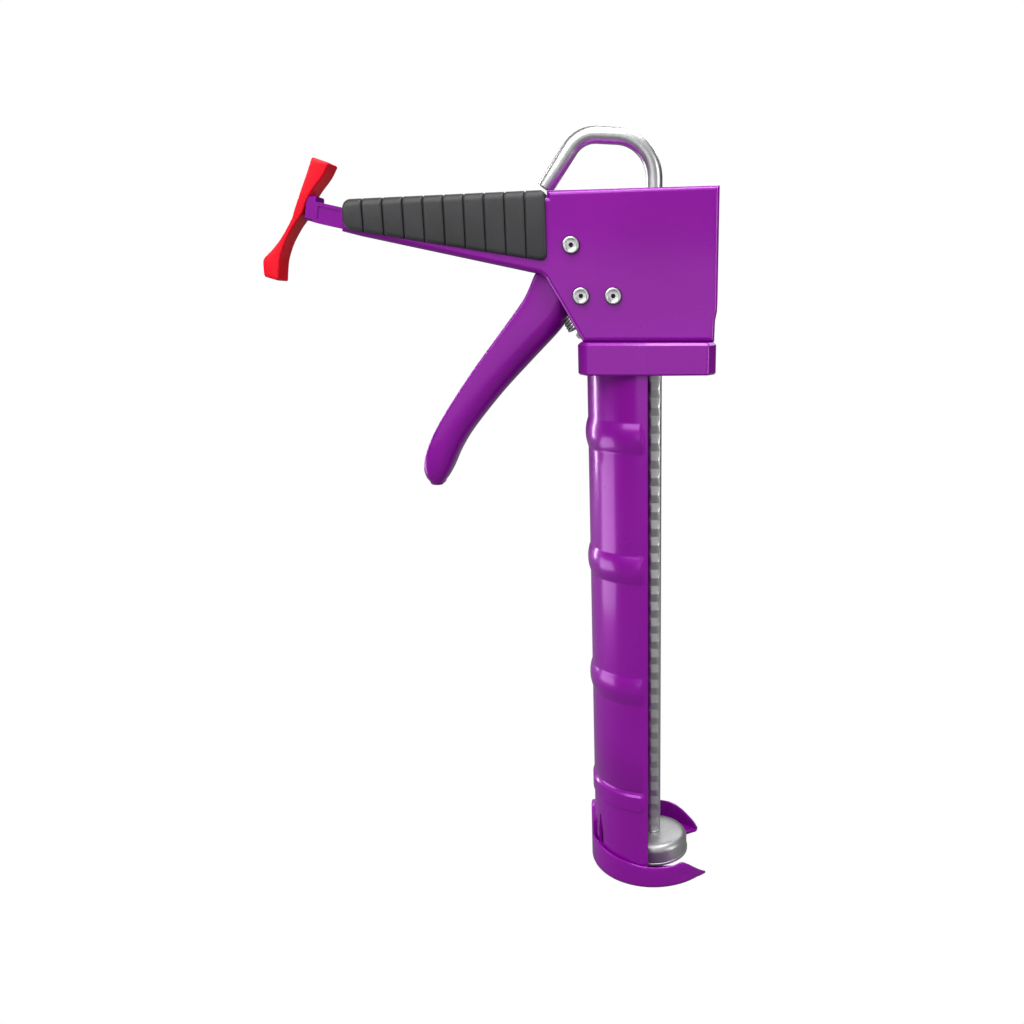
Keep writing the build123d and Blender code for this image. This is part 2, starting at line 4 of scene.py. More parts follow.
import bmesh
import bpy
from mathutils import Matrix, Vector


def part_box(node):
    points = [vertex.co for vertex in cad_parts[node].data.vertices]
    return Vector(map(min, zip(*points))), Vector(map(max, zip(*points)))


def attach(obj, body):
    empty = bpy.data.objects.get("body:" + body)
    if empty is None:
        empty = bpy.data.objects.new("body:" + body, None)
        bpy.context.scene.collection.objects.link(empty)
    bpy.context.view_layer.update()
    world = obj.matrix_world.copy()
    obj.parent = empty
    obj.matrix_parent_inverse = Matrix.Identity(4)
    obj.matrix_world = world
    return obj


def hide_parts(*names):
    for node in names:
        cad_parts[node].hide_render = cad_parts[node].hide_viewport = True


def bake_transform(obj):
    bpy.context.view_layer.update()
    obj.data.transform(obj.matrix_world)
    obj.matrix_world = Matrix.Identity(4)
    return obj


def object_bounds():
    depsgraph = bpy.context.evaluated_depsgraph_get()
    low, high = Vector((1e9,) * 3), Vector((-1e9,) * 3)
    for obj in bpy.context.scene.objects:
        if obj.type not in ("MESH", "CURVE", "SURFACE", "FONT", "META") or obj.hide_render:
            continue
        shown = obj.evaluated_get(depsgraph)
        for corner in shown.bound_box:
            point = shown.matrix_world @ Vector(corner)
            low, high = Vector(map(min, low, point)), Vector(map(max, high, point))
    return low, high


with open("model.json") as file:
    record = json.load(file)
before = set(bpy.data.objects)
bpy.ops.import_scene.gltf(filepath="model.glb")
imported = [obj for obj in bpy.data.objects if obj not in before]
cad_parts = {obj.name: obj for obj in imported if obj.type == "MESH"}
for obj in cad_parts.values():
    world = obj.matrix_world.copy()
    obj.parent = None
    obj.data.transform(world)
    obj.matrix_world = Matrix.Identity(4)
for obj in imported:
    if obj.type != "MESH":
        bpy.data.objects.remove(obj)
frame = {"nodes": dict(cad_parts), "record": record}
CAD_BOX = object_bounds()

# Studio scene for the jerky gun: camera, light, materials and the detailed visible pieces.
NODES = frame["nodes"]
MM = 0.001


# ---------------------------------------------------------------- camera
CAMERA_AT = (-1.64 * MM, -381.2 * MM, 24.2 * MM)
CAMERA_PITCH = 16.1          # degrees below level
CAMERA_LENS = 32.1           # mm on a 36 mm sensor
CAMERA_SHIFT = (-0.1348, 0.0596)


def add_camera():
    """The studio camera, in front of the near side and a little above."""
    data = bpy.data.cameras.new("camera")
    data.lens = CAMERA_LENS
    data.sensor_width = 36
    data.shift_x, data.shift_y = CAMERA_SHIFT
    data.clip_start = 0.01
    data.clip_end = 50
    cam = bpy.data.objects.new("camera", data)
    cam.location = CAMERA_AT
    cam.rotation_euler = (radians(90 - CAMERA_PITCH), 0, 0)
    bpy.context.scene.collection.objects.link(cam)
    bpy.context.scene.camera = cam


# ---------------------------------------------------------------- stage and light
FLOOR_Z = CAD_BOX[0][2] - 0.004
FLOOR_SIDE = 12.0
FLOOR_TONE = 0.13            # what reflections and bounced light meet; the camera sees white
MIDDLE = (-0.03, 0.0, -0.05)


def white_to_camera(tree, plain, strength):
    """Mix so that the camera sees even white where the object only meets the plain shader."""
    rays = tree.nodes.new("ShaderNodeLightPath")
    glow = add_node(tree, "ShaderNodeEmission", Strength=strength)
    mix = tree.nodes.new("ShaderNodeMixShader")
    tree.links.new(rays.outputs["Is Camera Ray"], mix.inputs[0])
    tree.links.new(plain, mix.inputs[1])
    tree.links.new(glow.outputs["Emission"], mix.inputs[2])
    return mix.outputs["Shader"]


def add_stage():
    """A plain pale floor."""
    half = FLOOR_SIDE / 2
    mesh = bpy.data.meshes.new("studio_floor")
    mesh.from_pydata([(-half, -half, FLOOR_Z), (half, -half, FLOOR_Z), (half, half, FLOOR_Z),
                      (-half, half, FLOOR_Z)], [], [(0, 1, 2, 3)])
    floor = bpy.data.objects.new("studio_floor", mesh)
    bpy.context.scene.collection.objects.link(floor)
    mat, tree, shader = new_material("pale_floor")
    shader.inputs["Base Color"].default_value = (FLOOR_TONE, FLOOR_TONE, FLOOR_TONE, 1)
    shader.inputs["Roughness"].default_value = 0.9
    out = tree.nodes["Material Output"]
    tree.links.new(white_to_camera(tree, shader.outputs["BSDF"], 1.0), out.inputs["Surface"])
    mesh.materials.append(mat)


def area_light(name, place, size, power):
    """Soft rectangular lamp aimed at the middle of the gun, unseen by the camera."""
    data = bpy.data.lights.new(name, "AREA")
    data.shape = "RECTANGLE"
    data.size, data.size_y = size
    data.energy = power
    lamp = bpy.data.objects.new(name, data)
    lamp.location = place
    aim = Vector(MIDDLE) - Vector(place)
    lamp.rotation_euler = aim.to_track_quat("-Z", "Y").to_euler()
    lamp.visible_camera = False
    bpy.context.scene.collection.objects.link(lamp)


def add_air():
    """Surroundings: bright overhead, grey at the sides, dark behind and below."""
    world = bpy.data.worlds.new("studio_air")
    world.use_nodes = True
    tree = world.node_tree
    air = tree.nodes["Background"]
    place = tree.nodes.new("ShaderNodeTexCoord")
    split = tree.nodes.new("ShaderNodeSeparateXYZ")
    tree.links.new(place.outputs["Generated"], split.inputs["Vector"])
    tone = spread(tree, split.outputs["Z"], [(0.0, (0.22, 0.22, 0.22)), (0.3, (0.25, 0.25, 0.25)),
                                             (0.8, (1.0, 1.0, 1.0))])
    tree.links.new(tone, air.inputs["Color"])
    depth = between(tree, split.outputs["Y"], 0.85, 0.04)
    depth.node.inputs["From Min"].default_value = -0.6
    depth.node.inputs["From Max"].default_value = 0.5
    tree.links.new(depth, air.inputs["Strength"])
    out = tree.nodes["World Output"]
    tree.links.new(white_to_camera(tree, air.outputs["Background"], 1.0), out.inputs["Surface"])
    bpy.context.scene.world = world


def add_light():
    """Surroundings and seven soft lamps."""
    bpy.context.scene.view_settings.view_transform = "Standard"
    add_air()
    area_light("key_soft", (-0.55, -0.9, 0.75), (1.1, 0.9), 12)
    area_light("left_strip", (-0.95, 0.55, 0.1), (0.12, 1.2), 7)
    area_light("top_strip", (0.1, -0.1, 1.1), (1.2, 0.35), 12)
    area_light("left_low", (-0.42, -0.02, -0.2), (0.25, 0.25), 0.7)
    area_light("back_top", (0.1, 1.0, 0.62), (1.4, 0.35), 5)
    area_light("right_fill", (0.95, -0.5, 0.1), (0.3, 0.9), 4.2)
    area_light("front_band", (0.0, -1.5, -0.05), (1.8, 0.36), 2.0)


# ---------------------------------------------------------------- materials
def new_material(name):
    """A material with its node tree and its principled shader."""
    mat = bpy.data.materials.new(name)
    mat.use_nodes = True
    return mat, mat.node_tree, mat.node_tree.nodes["Principled BSDF"]


def add_node(tree, kind, **inputs):
    """A node with some of its inputs set; underscores stand for spaces."""
    node = tree.nodes.new(kind)
    for key, value in inputs.items():
        node.inputs[key.replace("_", " ")].default_value = value
    return node


def object_noise(tree, scale, detail=3.0, stretch=(1, 1, 1), roughness=0.5):
    """Noise in the object's own space, so it stays put on the surface."""
    place = tree.nodes.new("ShaderNodeTexCoord")
    fit = add_node(tree, "ShaderNodeMapping", Scale=stretch)
    noise = add_node(tree, "ShaderNodeTexNoise", Scale=scale, Detail=detail, Roughness=roughness)
    tree.links.new(place.outputs["Object"], fit.inputs["Vector"])
    tree.links.new(fit.outputs["Vector"], noise.inputs["Vector"])
    return noise.outputs["Fac"]


def spread(tree, source, stops):
    """Colour ramp from (position, colour) stops."""
    ramp = tree.nodes.new("ShaderNodeValToRGB")
    elements = ramp.color_ramp.elements
    while len(elements) < len(stops):
        elements.new(0.5)
    for element, (position, colour) in zip(elements, stops):
        element.position = position
        element.color = (*colour, 1)
    tree.links.new(source, ramp.inputs["Fac"])
    return ramp.outputs["Color"]


def bump(tree, shader, height, strength, distance):
    """Fine relief from a height value."""
    node = add_node(tree, "ShaderNodeBump", Strength=strength, Distance=distance)
    tree.links.new(height, node.inputs["Height"])
    tree.links.new(node.outputs["Normal"], shader.inputs["Normal"])


def between(tree, source, low, high):
    """Map a 0..1 value to low..high."""
    node = tree.nodes.new("ShaderNodeMapRange")
    node.inputs["To Min"].default_value = low
    node.inputs["To Max"].default_value = high
    tree.links.new(source, node.inputs["Value"])
    return node.outputs["Result"]


def purple_paint():
    """Glossy enamel with a faint cloudiness and orange peel."""
    mat, tree, shader = new_material("purple_paint")
    cloud = object_noise(tree, 28, 2.0)
    tint = spread(tree, cloud, [(0.3, (0.246, 0.003, 0.314)), (0.7, (0.274, 0.004, 0.348))])
    tree.links.new(tint, shader.inputs["Base Color"])
    shader.inputs["Metallic"].default_value = 0.2
    tree.links.new(between(tree, object_noise(tree, 60, 4.0), 0.24, 0.34),
                   shader.inputs["Roughness"])
    shader.inputs["Specular IOR Level"].default_value = 0.18
    shader.inputs["Coat Weight"].default_value = 0.45
    shader.inputs["Coat Roughness"].default_value = 0.12
    bump(tree, shader, object_noise(tree, 450, 2.0), 0.05, 0.0002)
    return mat


def steel(name, tone, rough_low, rough_high, stretch, metal=1.0):
    """Steel with a fine grain, stretched where it was drawn."""
    mat, tree, shader = new_material(name)
    grain = object_noise(tree, 700, 3.0, stretch)
    dark = [channel * 0.9 for channel in tone]
    tree.links.new(spread(tree, grain, [(0.3, dark), (0.7, tone)]), shader.inputs["Base Color"])
    shader.inputs["Metallic"].default_value = metal
    tree.links.new(between(tree, grain, rough_low, rough_high), shader.inputs["Roughness"])
    bump(tree, shader, grain, 0.03, 0.0001)
    return mat


def grip_rubber():
    """Dark moulded rubber."""
    mat, tree, shader = new_material("grip_rubber")
    cloud = object_noise(tree, 90, 3.0)
    tint = spread(tree, cloud, [(0.3, (0.024, 0.024, 0.026)), (0.7, (0.033, 0.033, 0.036))])
    tree.links.new(tint, shader.inputs["Base Color"])
    tree.links.new(between(tree, object_noise(tree, 400, 3.0), 0.42, 0.58),
                   shader.inputs["Roughness"])
    bump(tree, shader, object_noise(tree, 2600, 3.0), 0.25, 0.0002)
    return mat


def red_plastic():
    """Bright moulded plastic."""
    mat, tree, shader = new_material("red_plastic")
    cloud = object_noise(tree, 60, 2.0)
    tint = spread(tree, cloud, [(0.3, (0.80, 0.000, 0.014)), (0.7, (0.88, 0.001, 0.018))])
    shader.inputs["Specular IOR Level"].default_value = 0.2
    tree.links.new(tint, shader.inputs["Base Color"])
    tree.links.new(between(tree, object_noise(tree, 200, 3.0), 0.30, 0.42),
                   shader.inputs["Roughness"])
    shader.inputs["Coat Weight"].default_value = 0.1
    shader.inputs["Coat Roughness"].default_value = 0.15
    bump(tree, shader, object_noise(tree, 1200, 2.0), 0.08, 0.0002)
    return mat


def bush_nylon():
    """Off-white nylon."""
    mat, tree, shader = new_material("bush_nylon")
    cloud = object_noise(tree, 120, 2.0)
    tint = spread(tree, cloud, [(0.3, (0.66, 0.65, 0.60)), (0.7, (0.72, 0.71, 0.67))])
    tree.links.new(tint, shader.inputs["Base Color"])
    tree.links.new(between(tree, cloud, 0.45, 0.6), shader.inputs["Roughness"])
    return mat


def make_materials():
    """All materials by name."""
    return {
        "purple_paint": purple_paint(),
        "bright_steel": steel("bright_steel", (0.80, 0.80, 0.81), 0.24, 0.36, (1, 1, 0.05)),
        "rod_steel": steel("rod_steel", (0.66, 0.66, 0.67), 0.28, 0.40, (1, 1, 0.2)),
        "satin_steel": steel("satin_steel", (0.42, 0.42, 0.43), 0.34, 0.42, (1, 1, 1), 0.8),
        "inner_steel": steel("inner_steel", (0.36, 0.36, 0.37), 0.35, 0.5, (1, 1, 1)),
        # near-black steel: painted shade for the screw recesses and a painted dark outline round
        # the screw heads
        "painted_shade_steel": steel("painted_shade_steel", (0.03, 0.03, 0.03), 0.5, 0.6, (1, 1, 1)),
        "grip_rubber": grip_rubber(),
        "red_plastic": red_plastic(),
        "bush_nylon": bush_nylon(),
    }


def dress_cad():
    """Give every CAD node the material of its slot."""
    for sub in frame["record"]["subparts"]:
        node = NODES[sub["node"]]
        node.data.materials.clear()
        node.data.materials.append(MATERIALS[sub["material_slot"]])


# ---------------------------------------------------------------- mesh helpers, in millimetres
class Skin:
    """Collects points and faces of one piece."""

    def __init__(self):
        self.points = []
        self.faces = []

    def rings(self, rings, caps=True):
        """Skin over closed rings of equal point counts."""
        first = len(self.points)
        count = len(rings[0])
        for ring in rings:
            self.points.extend(ring)
        for row in range(len(rings) - 1):
            for at in range(count):
                after = (at + 1) % count
                low, high = first + row * count, first + (row + 1) * count
                self.faces.append((low + at, low + after, high + after, high + at))
        if caps:
            last = first + (len(rings) - 1) * count
            self.faces.append(tuple(range(first + count - 1, first - 1, -1)))
            self.faces.append(tuple(range(last, last + count)))

    def drum(self, centre, radius, half_y, edge=0.4, sides=48):
        """Round bar along Y with softened rims."""
        rows = [(-half_y, radius - edge), (-half_y + edge, radius), (half_y - edge, radius),
                (half_y, radius - edge)]
        self.rings([[(centre[0] + r * cos(2 * pi * n / sides), y,
                      centre[1] + r * sin(2 * pi * n / sides)) for n in range(sides)]
                    for y, r in rows])


def build(name, skin, sharp_deg=35):
    """Turn a skin into a piece, with outward faces and no doubled points."""
    mesh = bpy.data.meshes.new(name)
    mesh.from_pydata([tuple(c * MM for c in p) for p in skin.points], [], skin.faces)
    tidy = bmesh.new()
    tidy.from_mesh(mesh)
    bmesh.ops.remove_doubles(tidy, verts=tidy.verts, dist=1e-6)
    bmesh.ops.recalc_face_normals(tidy, faces=tidy.faces)
    tidy.to_mesh(mesh)
    tidy.free()
    shade(mesh, sharp_deg)
    piece = bpy.data.objects.new(name, mesh)
    bpy.context.scene.collection.objects.link(piece)
    return piece


def shade(mesh, sharp_deg):
    """Smooth shading with edges kept sharp above an angle."""
    for face in mesh.polygons:
        face.use_smooth = True
    mesh.set_sharp_from_angle(angle=radians(sharp_deg))


def finish_piece(piece, slot, body, *nodes, material=None):
    """Material (the slot's, or the named material instead), body, and the CAD nodes that the piece
    stands for, which are hidden.
    """
    piece.data.materials.clear()
    piece.data.materials.append(MATERIALS[material or slot])
    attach(piece, body)
    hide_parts(*nodes)


def cut_away(piece, cutters, sharp_deg=35):
    """Subtract other meshes, then drop them."""
    for cutter in cutters:
        cut = piece.modifiers.new("cut", "BOOLEAN")
        cut.operation = "DIFFERENCE"
        cut.solver = "EXACT"
        cut.object = cutter
    graph = bpy.context.evaluated_depsgraph_get()
    mesh = bpy.data.meshes.new_from_object(piece.evaluated_get(graph))
    piece.modifiers.clear()
    piece.data = mesh
    shade(mesh, sharp_deg)
    for cutter in cutters:
        bpy.data.objects.remove(cutter)


def smooth_path(points, steps):
    """Catmull-Rom curve through points of any size, steps per span."""
    ends = [points[0]] + list(points) + [points[-1]]
    out = []
    for a, b, c, d in zip(ends, ends[1:], ends[2:], ends[3:]):
        for n in range(steps):
            t = n / steps
            out.append(tuple(
                0.5 * (2 * q + (r - p) * t + (2 * p - 5 * q + 4 * r - s) * t * t
                       + (3 * q - p - 3 * r + s) * t ** 3)
                for p, q, r, s in zip(a, b, c, d)))
    out.append(tuple(points[-1]))
    return out


def corner(centre, radius, start_deg, stop_deg, steps):
    """Points on an arc in a plane."""
    return [(centre[0] + radius * cos(radians(start_deg + (stop_deg - start_deg) * n / steps)),
             centre[1] + radius * sin(radians(start_deg + (stop_deg - start_deg) * n / steps)))
            for n in range(steps + 1)]


def bar_ring(left, right, half_y, left_round, right_round, shrink=0.0):
    """Rounded rectangle: it spans left to right in (X, Z) and +-half_y in Y."""
    dx, dz = right[0] - left[0], right[1] - left[1]
    wide = hypot(dx, dz)
    ux, uz = dx / wide, dz / wide
    half = half_y - shrink
    lo, hi = shrink, wide - shrink
    lr = min(left_round, (hi - lo) * 0.48, half * 0.95)
    rr = min(right_round, (hi - lo) * 0.48, half * 0.95)
    flat = (corner((lo + lr, -half + lr), lr, 180, 270, 5)
            + corner((hi - rr, -half + rr), rr, 270, 360, 5)
            + corner((hi - rr, half - rr), rr, 0, 90, 5)
            + corner((lo + lr, half - lr), lr, 90, 180, 5))
    return [(left[0] + ux * a, y, left[1] + uz * a) for a, y in flat]


def bar_rings(stations, steps, tip_round):
    """Rings along a bar from stations (left x, z, right x, z, half y, left and right rounding)."""
    path = smooth_path(stations, steps)
    rings = [bar_ring(s[0:2], s[2:4], s[4], s[5], s[6]) for s in path]
    return soft_ends(rings, tip_round)


def soft_ends(rings, depth):
    """Add three shrinking rings beyond each end, so that the end's edge is rounded."""
    out = list(rings)
    for end, inward in ((0, 1), (-1, -2)):
        ring = rings[end]
        nearby = rings[inward]
        centre = [sum(p[k] for p in ring) / len(ring) for k in range(3)]
        back = [sum(p[k] for p in nearby) / len(nearby) for k in range(3)]
        way = [c - b for c, b in zip(centre, back)]
        size = sqrt(sum(w * w for w in way))
        way = [w / size for w in way]
        extra = []
        for turn in (30, 60, 85):
            push = depth * sin(radians(turn))
            pull = depth * (1 - cos(radians(turn)))
            extra.append([offset_in(p, centre, way, push, pull) for p in ring])
        out = extra[::-1] + out if end == 0 else out + extra
    return out


def offset_in(point, centre, way, push, pull):
    """Move a point along the bar and towards its middle line."""
    to_centre = [c - p for c, p in zip(centre, point)]
    size = sqrt(sum(v * v for v in to_centre)) or 1.0
    return tuple(p + w * push + v / size * pull for p, w, v in zip(point, way, to_centre))


def tube(skin, path, radius, sides=12):
    """Round wire along a path."""
    rings = []
    side = Vector((0, 1, 0))
    for n, point in enumerate(path):
        before, after = path[max(n - 1, 0)], path[min(n + 1, len(path) - 1)]
        way = (Vector(after) - Vector(before)).normalized()
        side = (side - way * side.dot(way)).normalized()
        other = way.cross(side)
        rings.append([tuple(Vector(point) + radius * (cos(2 * pi * k / sides) * side
                                                      + sin(2 * pi * k / sides) * other))
                      for k in range(sides)])
    skin.rings(rings)


# ---------------------------------------------------------------- cradle
CRADLE_LOW, CRADLE_HIGH = (tuple(v / MM for v in c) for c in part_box("cradle"))
RIB_H = 1.1
CRADLE_R = -CRADLE_LOW[0] - RIB_H
CRADLE_WALL = 1.2
CRADLE_EDGE_X = CRADLE_HIGH[0]
RIB_PITCH = 53.2
RIB_COUNT = 3                  # rounded ribs; the fourth is the flat band
RIB_FIRST_Z = -24.2
RIB_HALF = 6.0
LAST_BAND = (-187.5, -179.1)   # the flat band that replaces a rounded rib near the foot
LAST_BAND_H = 0.62
LAST_BAND_RAMP = 0.9
LAST_GROOVE_Z = -178.0
LAST_GROOVE_DEPTH = 0.4
LAST_GROOVE_HALF = 0.9
LIP_W = 0.8                    # plain lip beside the ribs' ends
LIP_FADE = 2.4                 # over which a rib tapers off beside the lip
FACET_W = 3.0                  # flattened strip along the long edges
FACET_IN = 0.42                # how far its edge is bent inwards
ARCH_DEG = 28.0                # each arched slot sits this far round from the back


def rib_height(z, beside_lip):
    """How far the sheet is pushed out at a height, tapering off beside the lip."""
    fade = min(max(beside_lip / LIP_FADE, 0.0), 1.0)
    fade = fade * fade * (3 - 2 * fade)
    out = 0.0
    for index in range(RIB_COUNT):
        t = (z - (RIB_FIRST_Z - index * RIB_PITCH)) / RIB_HALF
        if abs(t) < 1:
            out = RIB_H * (1 - t * t)
    inside = min(z - LAST_BAND[0], LAST_BAND[1] - z)
    if inside > 0:
        out = LAST_BAND_H * min(1.0, inside / LAST_BAND_RAMP)
    off_groove = abs(z - LAST_GROOVE_Z)
    if off_groove < LAST_GROOVE_HALF:
        out = -LAST_GROOVE_DEPTH * (1 - off_groove / LAST_GROOVE_HALF)
    return out * fade


def cradle_rows():
    """Heights of the cradle's sections, denser where a rib, the band or the groove lies."""
    rows = {CRADLE_LOW[2], CRADLE_LOW[2] + 0.3, CRADLE_HIGH[2]}
    for index in range(RIB_COUNT):
        middle = RIB_FIRST_Z - index * RIB_PITCH
        for n in range(-13, 14):
            rows.add(middle + RIB_HALF * n / 11)
        rows.add(middle - RIB_PITCH / 2)
    for edge in LAST_BAND:
        rows.update(edge + step for step in (-0.9, -0.4, 0.0, 0.45, 0.9))
    rows.update(LAST_GROOVE_Z + step for step in (-0.9, -0.6, -0.3, 0.0, 0.3, 0.6, 0.9))
    rows.add(sum(LAST_BAND) / 2)
    rows.add(CRADLE_LOW[2] + 12)
    return sorted(r for r in rows if CRADLE_LOW[2] <= r <= CRADLE_HIGH[2])


def cradle_ring(z):
    """Section of the half barrel at a height, with rounded long edges."""
    half_deg = 180 - acos(CRADLE_EDGE_X / CRADLE_R) * 180 / pi
    count = 96
    outer, inner = [], []
    for n in range(count + 1):
        even = 2 * n / count - 1
        deg = 180 + half_deg * (1.35 * even - 0.35 * even ** 3)
        from_edge = (half_deg - abs(deg - 180)) * pi / 180 * CRADLE_R
        lift = rib_height(z, from_edge - LIP_W)
        bend = -FACET_IN * max(0.0, 1 - from_edge / FACET_W)
        for line, radius in ((outer, CRADLE_R), (inner, CRADLE_R - CRADLE_WALL)):
            r = radius + lift + bend
            line.append((r * cos(radians(deg)), r * sin(radians(deg)), z))
    ring = outer + round_lip(outer[-1], inner[-1], -1) + inner[::-1]
    return ring + round_lip(inner[0], outer[0], 1)


def round_lip(start, stop, turn):
    """Half round between the outer and the inner sheet at a long edge."""
    middle = [(a + b) / 2 for a, b in zip(start, stop)]
    arm = [a - m for a, m in zip(start, middle)]
    points = []
    for deg in (45, 90, 135):
        c, s = cos(radians(deg)), sin(radians(deg)) * turn
        points.append((middle[0] + arm[0] * c - arm[1] * s, middle[1] + arm[1] * c + arm[0] * s,
                       start[2]))
    return points


def arch_cutter(side):
    """Pointed slot near the foot, beside the cap's back strap."""
    half, low, high = 2.3, -212.0, -196.0
    shape = [(-half, low), (half, low), (half, high - 9), (1.4, high - 4.5), (0.4, high),
             (-0.4, high), (-1.4, high - 4.5), (-half, high - 9)]
    turn = radians(180 - side * ARCH_DEG)
    rings = []
    for reach in (20.0, 35.0):
        rings.append([(reach * cos(turn) - a * sin(turn), reach * sin(turn) + a * cos(turn), z)
                      for a, z in shape])
    skin = Skin()
    skin.rings(rings)
    return build(f"arch_cutter_{side}", skin)


def cradle_shell():
    """Half barrel with its ribs, rolled edges and the two arched slots."""
    rings = [cradle_ring(z) for z in cradle_rows()]
    skin = Skin()
    skin.rings(rings, caps=False)
    count = len(rings[0])
    sheet = (count - 6) // 2
    for first in (0, (len(rings) - 1) * count):
        for n in range(sheet - 1):
            far = count - 4 - n
            skin.faces.append((first + n, first + n + 1, first + far - 1, first + far))
        skin.faces.append(tuple(first + k for k in range(sheet - 1, sheet + 4)))
        skin.faces.append(tuple(first + k % count for k in range(count - 4, count + 1)))
    shell = build("cradle_shell", skin, 28)
    cut_away(shell, [arch_cutter(1), arch_cutter(-1)], 28)
    finish_piece(shell, "purple_paint", "frame", "cradle")


# ---------------------------------------------------------------- front cap
CAP_LOW, CAP_HIGH = (tuple(v / MM for v in c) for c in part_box("front_cap"))
CAP_R = -CAP_LOW[0]
CAP_BOTTOM_Z = CAP_LOW[2]
CAP_WALL = 1.1
CAP_FLOOR = 1.4
SLOT_HALF = 12.6
SLOT_FLARE_X = 11.0          # where the slot starts to widen towards the horns
HORN_NEAR = (22.96, -16.4)   # where the slot's edge meets the wall
HORN_FAR = (20.7, 17.98)
HORN_NEAR_DEG = 324.5
HORN_FAR_DEG = 41.5
NEAR_RIM = [(-29, -210.2), (-25.7, -210.4), (-15, -211.9), (-6, -213.2), (0, -213.5), (7, -213.5),
            (10.2, -213.2), (12.3, -212.6), (13.6, -213.0), (16.3, -215.2), (19.8, -218.9),
            (23.7, -223.2)]
FAR_RIM = [(-29, -210.2), (-20, -211.6), (-6, -212.6), (4, -212.7), (8.4, -213.1), (10.9, -213.8),
           (14.6, -215.8), (17.7, -218.1), (19.5, -219.4), (20.7, -220.5), (21.8, -222.0)]
DIMPLE_AT = (13.6, -219.4)   # X and Z of the small dent in the near horn
DIMPLE_R = 1.5
DIMPLE_DEPTH = 0.45


def along(table, x):
    """Value of a table of (x, value) pairs, in straight steps."""
    for (x0, v0), (x1, v1) in zip(table, table[1:]):
        if x <= x1:
            return v0 + (v1 - v0) * (x - x0) / (x1 - x0)
    return table[-1][1]


def slot_reach(deg):
    """Distance from the rod axis to the nozzle slot's edge in one direction."""
    c, s = cos(radians(deg)), abs(sin(radians(deg)))
    tip = HORN_NEAR if deg > 180 else HORN_FAR
    slope = (abs(tip[1]) - SLOT_HALF) / (tip[0] - SLOT_FLARE_X)
    if c <= 0:
        return SLOT_HALF
    reach = SLOT_HALF / s
    if reach * c > SLOT_FLARE_X:
        reach = (SLOT_HALF - slope * SLOT_FLARE_X) / (s - slope * c)
    return reach


def cap_section(deg):
    """Closed section of the cap's floor and wall in one direction: (radius, Z) points."""
    reach = min(slot_reach(deg), CAP_R - 0.8)
    rim = along(NEAR_RIM if deg > 180 else FAR_RIM, CAP_R * cos(radians(deg)))
    inner = max(CAP_R - CAP_WALL, reach + 0.05)
    floor = CAP_BOTTOM_Z + min(CAP_FLOOR, (rim - CAP_BOTTOM_Z) * 0.5)
    edge = min(2.4, CAP_R - reach - 0.35, (rim - CAP_BOTTOM_Z) * 0.45)
    low_round = corner((CAP_R - edge, CAP_BOTTOM_Z + edge), edge, 270, 360, 6)
    lip = (CAP_R - inner) / 2
    start = low_round[-1][1]
    side = [(CAP_R, start + (rim - lip - start) * n / 8) for n in range(1, 8)]
    top = corner(((CAP_R + inner) / 2, rim - lip), lip, 0, 180, 4)
    return ([(reach, floor - 0.3), (reach, CAP_BOTTOM_Z + 0.3), (reach + 0.3, CAP_BOTTOM_Z)]
            + low_round + side + top
            + [(inner, floor + 0.1), (inner - 0.02, floor), (reach + 0.02, floor)])


def cap_ring(deg):
    """The cap's section in one direction, with the dent in the near horn."""
    c, s = cos(radians(deg)), sin(radians(deg))
    ring = []
    for radius, z in cap_section(deg):
        x, y = radius * c, radius * s
        if y < 0 and radius > CAP_R - 0.6:
            gap = hypot(x - DIMPLE_AT[0], z - DIMPLE_AT[1])
            dent = 1 - DIMPLE_DEPTH * exp(-(gap / DIMPLE_R) ** 2) / radius
            x, y = x * dent, y * dent
        ring.append((x, y, z))
    return ring


def cap_strap(skin):
    """Pointed strap that rises behind the cradle, with a soft swell at its foot."""
    rows = []
    foot, shoulder, top = NEAR_RIM[0][1] - 2.0, CAP_HIGH[2] - 6, CAP_HIGH[2]
    for n in range(25):
        z = foot + (top - foot) * n / 24
        half = 6.5 if z < shoulder else 6.5 - 4.5 * (z - shoulder) / (top - shoulder)
        out = CAP_R if z < top - 0.5 else CAP_R - 0.3
        row = []
        for radius, way in ((out, 1), (CRADLE_R + RIB_H * 0.05, -1)):
            for k in range(-6, 7):
                deg = 180 + way * k / 6 * half / CAP_R * 180 / pi
                soft = 0.35 if abs(k) == 6 and way == 1 else 0.0
                row.append(((radius - soft) * cos(radians(deg)),
                            (radius - soft) * sin(radians(deg)), z))
        rows.append(row)
    skin.rings(rows)


def cap_shell():
    """Slotted cap swept from one horn round the back to the other, with its strap."""
    count = 190
    step = (HORN_NEAR_DEG - HORN_FAR_DEG) / count
    rings = [cap_ring(HORN_FAR_DEG + step * n) for n in range(count + 1)]
    skin = Skin()
    skin.rings(soft_ends(rings, 0.3))
    cap_strap(skin)
    finish_piece(build("cap_shell", skin, 40), "purple_paint", "frame", "front_cap")


# ---------------------------------------------------------------- grip
GRIP_LOW, GRIP_HIGH = (tuple(v / MM for v in c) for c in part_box("grip_sleeve"))
GRIP_HALF_IN = 14.05
GRIP_T = GRIP_HIGH[1] - GRIP_HALF_IN
GRIP_SEGMENTS = 10
GRIP_BOTTOM = ((-117.2, 53.3), (-40.9, 41.7))
GRIP_TOP = ((-117.2, 64.0), (-40.9, 67.3))
HANDLE_TOP = ((-117.2, 61.45), (-40.9, 64.95))


def line_at(line, x):
    """Height of a straight line at X."""
    (x0, z0), (x1, z1) = line
    return z0 + (z1 - z0) * (x - x0) / (x1 - x0)


def round_off(gap, radius):
    """How far a rounded corner stands back at a distance from its end."""
    inside = max(radius - gap, 0.0)
    return radius - sqrt(max(radius * radius - inside * inside, 0.0))


